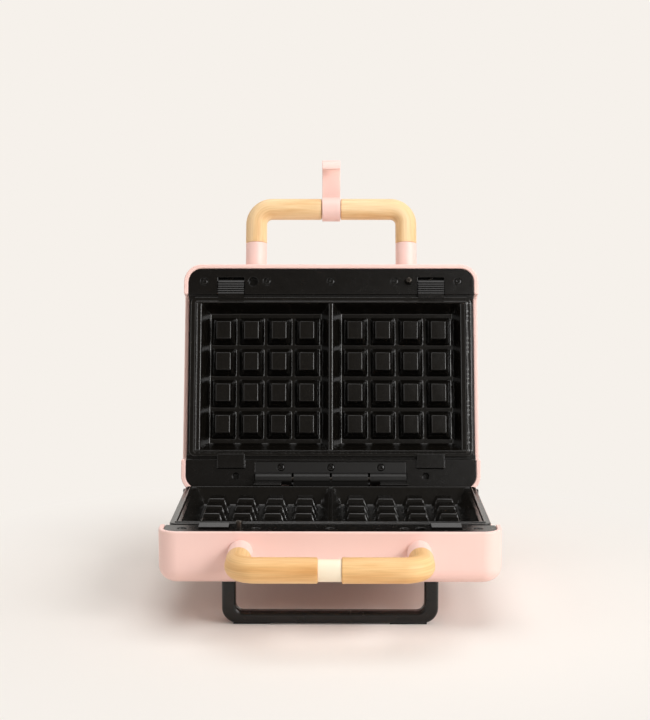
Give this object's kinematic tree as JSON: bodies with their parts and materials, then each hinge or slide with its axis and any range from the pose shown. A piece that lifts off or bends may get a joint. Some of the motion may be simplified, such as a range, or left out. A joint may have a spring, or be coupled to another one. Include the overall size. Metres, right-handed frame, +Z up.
{
  "type": "waffle maker",
  "caption": "Electric waffle maker with two hinged pink halves, removable non-stick plates, wood loop handles, a swinging handle clip and black loop legs, standing open.",
  "frame": {"origin": "on the floor under the middle of the open waffle maker", "axes": "+Z up, -Y towards the user and the lower handle, +X to the user's right"},
  "size_m": [0.24, 0.3303, 0.3233],
  "materials": {
    "pink_enamel": "satin",
    "nonstick": "matte non-stick coat",
    "beech": "satin",
    "cream": "satin",
    "steel": "plain",
    "tray": "bright",
    "element": "matte",
    "black_steel": "satin",
    "black_rubber": "matte",
    "lens": "clear",
    "white_plastic": "matte",
    "board": "matte",
    "black_plastic": "satin"
  },
  "bodies": {
    "base": {"base_shell": "pink_enamel", "base_inner_frame": "black_plastic", "base_waffle_plate": "nonstick", "base_reflector": "tray", "base_heating_element": "element", "base_thermostat": "tray", "base_latch_spring_left": "steel", "base_latch_spring_right": "steel", "base_handle_post_left": "pink_enamel", "base_handle_post_right": "pink_enamel", "base_grip_left": "beech", "base_grip_right": "beech", "base_handle_core": "cream", "base_frame_screws": "black_steel", "base_handle_screws": "steel", "base_hinge_bracket": "black_steel", "hinge_pin": "steel", "base_locating_pin": "steel", "front_leg": "black_plastic", "rear_leg": "black_plastic", "foot_pads": "black_rubber", "leg_screws": "steel", "cord_gland": "black_rubber", "terminal_block": "white_plastic"},
    "lid": {"lid_shell": "pink_enamel", "lid_inner_frame": "black_plastic", "lid_waffle_plate": "nonstick", "lid_reflector": "tray", "lid_heating_element": "element", "lid_thermostat": "tray", "lid_latch_spring_left": "steel", "lid_latch_spring_right": "steel", "lid_handle_post_left": "pink_enamel", "lid_handle_post_right": "pink_enamel", "lid_grip_left": "beech", "lid_grip_right": "beech", "lid_handle_core": "cream", "lid_frame_screws": "black_steel", "lid_handle_screws": "steel", "lid_hinge_bracket": "black_steel", "lid_locating_pin": "steel", "indicator_lenses": "lens", "lamp_board": "board"},
    "clip": {"locking_clip": "pink_enamel"},
    "base_latch_left": {"base_latch_left": "black_plastic"},
    "base_latch_right": {"base_latch_right": "black_plastic"},
    "lid_latch_left": {"lid_latch_left": "black_plastic"},
    "lid_latch_right": {"lid_latch_right": "black_plastic"}
  },
  "joints": [
    {"name": "lid_hinge", "type": "hinge", "parent": "base", "child": "lid", "pos_m": [0, 0.06905, 0.0705], "axis": [1, 0, 0], "range_deg": [0, 106]},
    {"name": "clip_swing", "type": "hinge", "parent": "lid", "child": "clip", "pos_m": [0, 0.14611, 0.28299], "axis": [1, 0, 0], "range_deg": [0, 90]},
    {"name": "base_latch_left_slide", "type": "slide", "parent": "base", "child": "base_latch_left", "axis": [0, -1, 0], "range_m": [0, 0.0026], "stiffness_N_per_m": 300, "springref_m": -0.002, "deforming": ["base_latch_spring_left"]},
    {"name": "base_latch_right_slide", "type": "slide", "parent": "base", "child": "base_latch_right", "axis": [0, -1, 0], "range_m": [0, 0.0026], "stiffness_N_per_m": 300, "springref_m": -0.002, "deforming": ["base_latch_spring_right"]},
    {"name": "lid_latch_left_slide", "type": "slide", "parent": "lid", "child": "lid_latch_left", "axis": [0, 0.2756, 0.9613], "range_m": [0, 0.0026], "stiffness_N_per_m": 300, "springref_m": -0.002, "deforming": ["lid_latch_spring_left"]},
    {"name": "lid_latch_right_slide", "type": "slide", "parent": "lid", "child": "lid_latch_right", "axis": [0, 0.2756, 0.9613], "range_m": [0, 0.0026], "stiffness_N_per_m": 300, "springref_m": -0.002, "deforming": ["lid_latch_spring_right"]}
  ]
}
